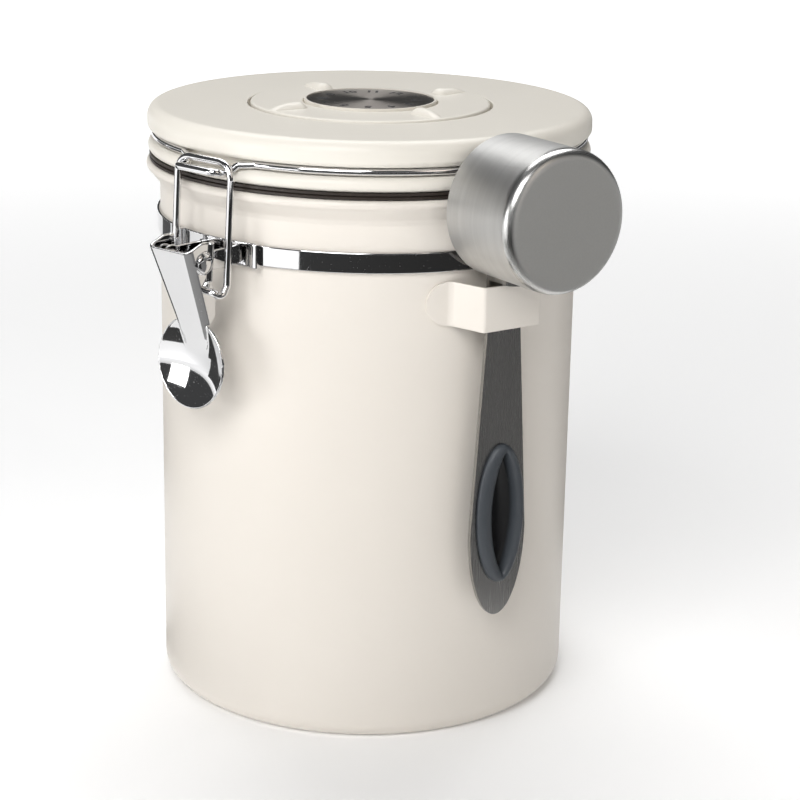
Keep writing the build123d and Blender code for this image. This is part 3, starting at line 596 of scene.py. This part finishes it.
finished("ring", bent_wire(ring_path, bright), bright, "lid", "polished_wire", "lid_ring")

# Lid: a plug with its flange and the top cover, both moulded in cream plastic with a satin skin. They hold
# the ring in a groove between them. The dial's hub and the valve's cap are moulded in the same plastic.
cream_deep, cream_light = (0.80, 0.765, 0.69), (0.815, 0.78, 0.71)
cream = Finish("cream_plastic", Roughness=0.38, IOR=1.46)
cream.link("Base Color", cream.noise(22.0).mix(cream_deep, cream_light))
cream.link("Roughness", cream.noise(70.0) * 0.08 + 0.36)
cream.bump(cream.noise(1500.0), 0.000006)
cream.on(cad["lid_base"], cad["lid_cover"], cad["dial_hub"], cad["valve_cap"])

# Seal: a ring of dark brown rubber stretched round the lid's plug, its outer face moulded in two lips that
# seal against the body's mouth. A little dust lies on it.
seal_brown, seal_dust = (0.034, 0.025, 0.020), (0.16, 0.13, 0.11)
rubber = Finish("seal_rubber", Roughness=0.5)
dust = rubber.noise(2400.0, 1.0).step(0.70, 0.78)
rubber.link("Base Color", dust.mix(seal_brown, seal_dust))
rubber.link("Roughness", rubber.noise(150.0) * 0.15 + 0.42)
rubber.on(cad["lid_seal"])

# Dial: a cream moulding that turns round the hub in the cover's pocket. Four domed ridges for the fingers
# stand on it, a quarter turn apart.
dial_radius, dial_wall, dial_top, dial_low, dial_skin, dial_edge = 34.2, 1.6, 171.3, 165.7, 1.8, 0.7
dial_bore, dial_mouth, dial_step, dial_sleeve = 17.1, 19.3, 168.8, 20.9
dial_section = [(dial_bore, dial_low), (dial_bore, dial_step), (dial_mouth, dial_step),
                (dial_mouth, dial_top - 0.3), (dial_mouth + 0.3, dial_top), (dial_mouth + 0.5, dial_top),
                (dial_mouth + 0.8, dial_top), (dial_radius - 1.2, dial_top), (dial_radius - 0.9, dial_top)]
dial_section += reversed(rounding(dial_radius - dial_edge, dial_top - dial_edge, dial_edge, 0.0,
                                  (0, 23, 45, 68, 90)))
dial_section += [(dial_radius, dial_low), (dial_radius - dial_wall, dial_low),
                 (dial_radius - dial_wall, dial_top - dial_skin), (dial_sleeve, dial_top - dial_skin),
                 (dial_sleeve, dial_low), (dial_bore, dial_low)]
ridge_near, ridge_far, ridge_wide, ridge_narrow, ridge_rise, ridge_root = 24.9, 31.7, 3.0, 1.7, 1.7, 0.5
ridge_outline = [(ridge_near + ridge_wide * math.cos(turn), ridge_wide * math.sin(turn))
                 for turn in (math.radians(100 + 160 * k / 20) for k in range(21))]
ridge_outline += [(ridge_far + ridge_narrow * math.cos(turn), ridge_narrow * math.sin(turn))
                  for turn in (math.radians(-80 + 160 * k / 10) for k in range(11))]
ridge_levels = [(0.0, -ridge_root), (1.0, -ridge_root), (1.0, 0.0)]
ridge_levels += [(share, ridge_rise * (1 - share ** 2.4)) for share in (0.96, 0.9, 0.8, 0.65, 0.5, 0.3, 0.12)]
ridge_levels += [(0.0, ridge_rise)]
ridge = patch([[Vector((ridge_near + (x - ridge_near) * share, y * share, dial_top + rise)) * mm
                for x, y in ridge_outline] for share, rise in ridge_levels], True)


def ring_tree():
    """Geometry nodes that set copies of a shape round the canister's axis."""
    tree, (shape, copies, first, finish) = new_tree("copies_round_the_axis", shape="Geometry", copies="Int",
                                                    first_turn="Float", finish="Material")
    points = shape.node("GeometryNodeMeshCircle", {}, {"Vertices": copies, "Radius": 0.0})
    turn = shape.node("GeometryNodeInputIndex") * (math.tau / copies) + first
    spin = shape.node("ShaderNodeCombineXYZ", {}, {"Z": turn})
    copied = shape.node("GeometryNodeInstanceOnPoints", {}, {"Points": points, "Instance": shape,
                                                             "Rotation": spin})
    return end_tree(tree, copied, finish)


ridges = grown(ridge, ring_tree(), {"copies": 4, "first turn": math.radians(-13.6), "finish": cream.material})
dial = bmesh.new()
dial.from_mesh(lathe(dial_section, 192))
dial.from_mesh(ridges)
dial_mesh = bpy.data.meshes.new("dial")
dial.to_mesh(dial_mesh)
dial.free()
dial_mesh.set_sharp_from_angle(angle=math.radians(50.0))
finished("dial", whole_skin(dial_mesh), cream, "dial", "cream_plastic", "dial_ring")

# Dial disc: a dark disc of spun steel that lies in the hub's tray and stays still. The fine marks of its
# turning throw fans of light.
disc_deep, disc_light = (0.26, 0.237, 0.218), (0.38, 0.355, 0.33)
spun = Finish("spun_steel", Metallic=1.0, Anisotropic=0.8, Anisotropic_Rotation=0.25)
across, along, _ = spun.axes(spun.place)
radius = spun.start.maths("SQRT", across * across + along * along)
rings = spun.start.node("ShaderNodeCombineXYZ", {}, {0: radius * 9000.0, 1: 0.0, 2: 0.0})
turning = spun.noise(1.0, 4.0, 0.7, rings)
spun.link("Base Color", turning.mix(disc_deep, disc_light))
spun.link("Roughness", turning * 0.15 + 0.24)
spun.bump(turning, 0.00004)
spun.on(cad["dial_disc"])

# Numbers: 1 to 12 for the months, printed in black ink near the edge of the disc. Their tops point
# outward, as on a clock.
number_height, number_size, number_weight = 3.2, 1.38, 0.15
number_reach, number_top, number_thickness, number_first_turn = 13.3, 171.7, 0.06, 69.0
ink = Finish("black_ink", Roughness=0.5)
ink.link("Base Color", ink.noise(120.0).mix((0.012, 0.012, 0.013), (0.02, 0.02, 0.021)))
numbers = bmesh.new()
for number in range(1, 13):
    figure = bpy.data.curves.new("number", "FONT")
    figure.body = str(number)
    figure.align_x, figure.align_y = "CENTER", "CENTER"
    figure.size = number_height * number_size * mm
    figure.offset = number_weight * mm
    figure.extrude = number_thickness / 2 * mm
    figure.resolution_u = 3
    holder = bpy.data.objects.new("number", figure)
    flat = bpy.data.meshes.new_from_object(holder)
    turn = math.radians(number_first_turn - 30.0 * (number - 1))
    flat.transform(Matrix.Rotation(turn, 4, "Z")
                   @ Matrix.Translation((number_reach * mm, 0.0, number_top * mm))
                   @ Matrix.Rotation(math.radians(-90.0), 4, "Z"))
    numbers.from_mesh(flat)
    bpy.data.objects.remove(holder)
numbers_mesh = bpy.data.meshes.new("dial_numbers")
numbers.to_mesh(numbers_mesh)
numbers.free()
dial_numbers = placed("dial_numbers", numbers_mesh)
ink.on(dial_numbers)
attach(dial_numbers, "lid")

# Clip, valve and filter: a spring washer that holds the hub under the pocket's floor, a soft silicone flap
# that lets gas out and no air in, and a felt pad in the valve's cap. All three are hidden in the lid.
spring = Finish("spring_steel", Metallic=1.0)
spring.link("Base Color", spring.noise(50.0).mix((0.5, 0.5, 0.5), (0.6, 0.6, 0.6)))
spring.link("Roughness", spring.noise(400.0) * 0.15 + 0.22)
spring.on(cad["hub_clip"])
silicone = Finish("silicone", Roughness=0.4)
silicone.link("Base Color", silicone.noise(50.0).mix((0.6, 0.6, 0.58), (0.7, 0.7, 0.68)))
silicone.link("Roughness", silicone.noise(300.0) * 0.1 + 0.35)
silicone.on(cad["valve_flap"])
felt = Finish("felt", Roughness=0.95)
felt.link("Base Color", felt.noise(600.0, 4.0).mix((0.7, 0.7, 0.68), (0.85, 0.85, 0.83)))
felt.bump(felt.noise(900.0, 4.0), 0.0001)
felt.on(cad["valve_filter"])

# Hanger: one strip of sheet steel, its round ends welded to the body and its middle bent out in a pocket
# for the scoop's blade. It is powder coated with the body.
scoop_turn = 75.5
hanger_low, hanger_high, hanger_sheet, hanger_edge = 120.3, 132.5, 0.8, 0.16
tab_reach, tab_end = 60.85, 19.4
tab = [(x, -math.sqrt(tab_reach ** 2 - x ** 2), 0.0, 0)
       for x in (-tab_end, -19.35, -19.2, -18.95, -18.6, -18.1, -17.5, -16.8, -16.0)]
fold = both_sides(tab + [(-12.63, -59.53, 0.0, 2.4), (-9.4, -70.3, 0.0, 1.0)])
half_height, middle_height, half_rows = (hanger_high - hanger_low) / 2, (hanger_high + hanger_low) / 2, 6
columns = []
for point in rounded(fold, 10):
    inward = max(abs(point.x) - (tab_end - half_height), 0.0)
    half = math.sqrt(max(half_height ** 2 - inward ** 2, 0.02))
    columns.append([Vector((point.x, point.y, middle_height + half * row / half_rows)) * mm
                    for row in range(-half_rows, half_rows + 1)])
strip = bmesh.new()
strip_points = [[strip.verts.new(point) for point in column] for column in columns]
for left, right in zip(strip_points, strip_points[1:]):
    for k in range(2 * half_rows):
        strip.faces.new((left[k], right[k], right[k + 1], left[k + 1]))
strip_mesh = bpy.data.meshes.new("strip")
strip.to_mesh(strip_mesh)
strip.free()
strip_mesh = through(strip_mesh,
                     ("SOLIDIFY", {"thickness": hanger_sheet * mm, "offset": -1.0, "use_even_offset": True}),
                     ("BEVEL", {"width": hanger_edge * mm, "segments": 2, "limit_method": "ANGLE",
                                "angle_limit": math.radians(50.0)}))
scoop_side = Matrix.Rotation(math.radians(scoop_turn), 4, "Z")
strip_mesh.transform(scoop_side)
finished("hanger", whole_skin(strip_mesh), coat, "canister", "enamel", "scoop_bracket")

# Scoop cup: deep drawn from steel and brushed round its side while it turned. Its round edge is rubbed
# bright, and its bottom is left matt.
cup_dark, cup_bright = (0.46, 0.457, 0.446), (0.73, 0.727, 0.715)
bottom_deep, bottom_light = (0.80, 0.80, 0.78), (0.88, 0.88, 0.86)
bottom_from, bottom_full = 0.0919, 0.0925
edge_from, edge_full = 0.0880, 0.0898
steel = Finish("brushed_cup", Metallic=1.0)
lines = steel.noise(1.0, 3.0, 0.65, steel.turned(scoop_turn, (60.0, 7000.0, 60.0)))
broad = steel.noise(1.0, 2.0, 0.5, steel.turned(scoop_turn, (14.0, 500.0, 14.0)))
grain = steel.noise(2200.0, 3.0)
_, inward, _ = steel.axes(steel.turned(scoop_turn, (1.0, 1.0, 1.0)))
outward = inward * -1.0
bottom = outward.step(bottom_from, bottom_full)
rubbed_edge = outward.step(edge_from, edge_full)
side_colour = (lines * 0.6 + broad * 0.4).mix(cup_dark, cup_bright)
steel.link("Base Color", bottom.mix(side_colour, grain.mix(bottom_deep, bottom_light)))
side_roughness = lines * 0.16 + 0.36 - rubbed_edge * 0.16
steel.link("Roughness", (1.0 - bottom) * side_roughness + bottom * (grain * 0.08 + 0.58))
steel.bump((1.0 - bottom) * lines + bottom * grain * 0.4, 0.000012)
steel.on(cad["scoop_cup"])

# Scoop handle: a flat steel blade, cut with a window for the grip and brushed along its length. Its upper
# end is turned out into a tab that is welded under the cup.
blade_deep, blade_light = (0.31, 0.305, 0.296), (0.40, 0.395, 0.386)
blade = Finish("brushed_blade", Metallic=1.0)
streaks = blade.noise(1.0, 3.0, 0.6, blade.turned(scoop_turn, (5000.0, 5000.0, 60.0)))
cloud = blade.noise(1.0, 2.0, 0.5, blade.turned(scoop_turn, (120.0, 120.0, 40.0)))
blade.link("Base Color", (streaks * 0.5 + cloud * 0.5).mix(blade_deep, blade_light))
blade.link("Roughness", streaks * 0.12 + 0.20)
blade.bump(streaks, 0.000006)
blade.on(cad["scoop_handle"])

# Grip: soft black rubber, moulded through the blade's window so that it holds on both faces. A full round
# rim runs round a pointed recess for the finger.
grip_deep, grip_light, painted_recess_shade = (0.046, 0.053, 0.062), (0.062, 0.071, 0.082), (0.006, 0.006, 0.007)
shade_full_reach, shade_from_reach = 0.0648, 0.0668
grip = Finish("grip_rubber", Roughness=0.5)
_, grip_inward, _ = grip.axes(grip.turned(scoop_turn, (1.0, 1.0, 1.0)))
# Painted shade: the rubber's colour darkens to near black towards the floor of the finger recess, standing in
# for the shade that falls deep inside it.
recess_shade_mask = 1.0 - (grip_inward * -1.0).step(shade_full_reach, shade_from_reach)
grip.link("Base Color", recess_shade_mask.mix(grip.noise(60.0).mix(grip_deep, grip_light), painted_recess_shade))
grip.link("Roughness", grip.noise(400.0) * 0.1 + 0.40)
grip.bump(grip.noise(2500.0), 0.000015)
grip_middle, grip_half_height, grip_half_width, grip_aside = 66.9, 20.1, 7.8, 0.3
recess_half_height, recess_half_width, recess_aside, recess_floor = 17.0, 3.5, 0.9, 65.0
recess_radius = (recess_half_height ** 2 + recess_half_width ** 2) / (2 * recess_half_width)
blade_back, blade_front, window_inset = 65.5, 66.7, 1.8
rim_back, rim_front = blade_back - 1.4, blade_front + 2.1


def grip_ring(inset, share, reach, steps=120):
    """A ring of points: the outer oval, taken in, then moved a share of the way to the recess's edge."""
    points = []
    for k in range(steps):
        turn = math.tau * (k + 0.5) / steps
        outer = Vector(((grip_half_width - inset) * math.cos(turn),
                        (grip_half_height - inset) * math.sin(turn)))
        height = recess_half_height * math.sin(turn)
        width = math.sqrt(recess_radius ** 2 - height ** 2) - (recess_radius - recess_half_width)
        inner = Vector((math.copysign(max(width, 0.0), math.cos(turn)) + recess_aside, height))
        place = outer.lerp(inner, share)
        points.append(Vector((place.x + grip_aside, -reach, grip_middle + place.y)) * mm)
    return points


grip_profile = [(7.6, 0.0, rim_back), (1.0, 0.0, rim_back), (0.4, 0.0, rim_back + 0.25),
                (0.05, 0.0, rim_back + 0.8), (0.0, 0.0, blade_back), (window_inset, 0.0, blade_back),
                (window_inset, 0.0, blade_front), (0.0, 0.0, blade_front), (0.05, 0.0, blade_front + 0.7),
                (0.0, 0.08, blade_front + 1.3), (0.0, 0.20, blade_front + 1.75), (0.0, 0.36, rim_front),
                (0.0, 0.52, rim_front), (0.0, 0.68, rim_front - 0.22), (0.0, 0.82, rim_front - 0.75),
                (0.0, 0.93, rim_front - 1.7), (0.0, 0.98, rim_front - 2.8), (0.0, 1.0, recess_floor)]
moulding = bmesh.new()
grip_rows = [[moulding.verts.new(point) for point in grip_ring(*level)] for level in grip_profile]
for low, high in zip(grip_rows, grip_rows[1:]):
    for k in range(len(low)):
        nearby = (k + 1) % len(low)
        moulding.faces.new((low[k], low[nearby], high[nearby], high[k]))
moulding.faces.new(reversed(grip_rows[0]))
moulding.faces.new(grip_rows[-1])
bmesh.ops.recalc_face_normals(moulding, faces=moulding.faces)
grip_mesh = bpy.data.meshes.new("grip")
moulding.to_mesh(grip_mesh)
moulding.free()
grip_mesh.transform(scoop_side)
finished("grip", grip_mesh, grip, "scoop", "grip_rubber", "scoop_grip")
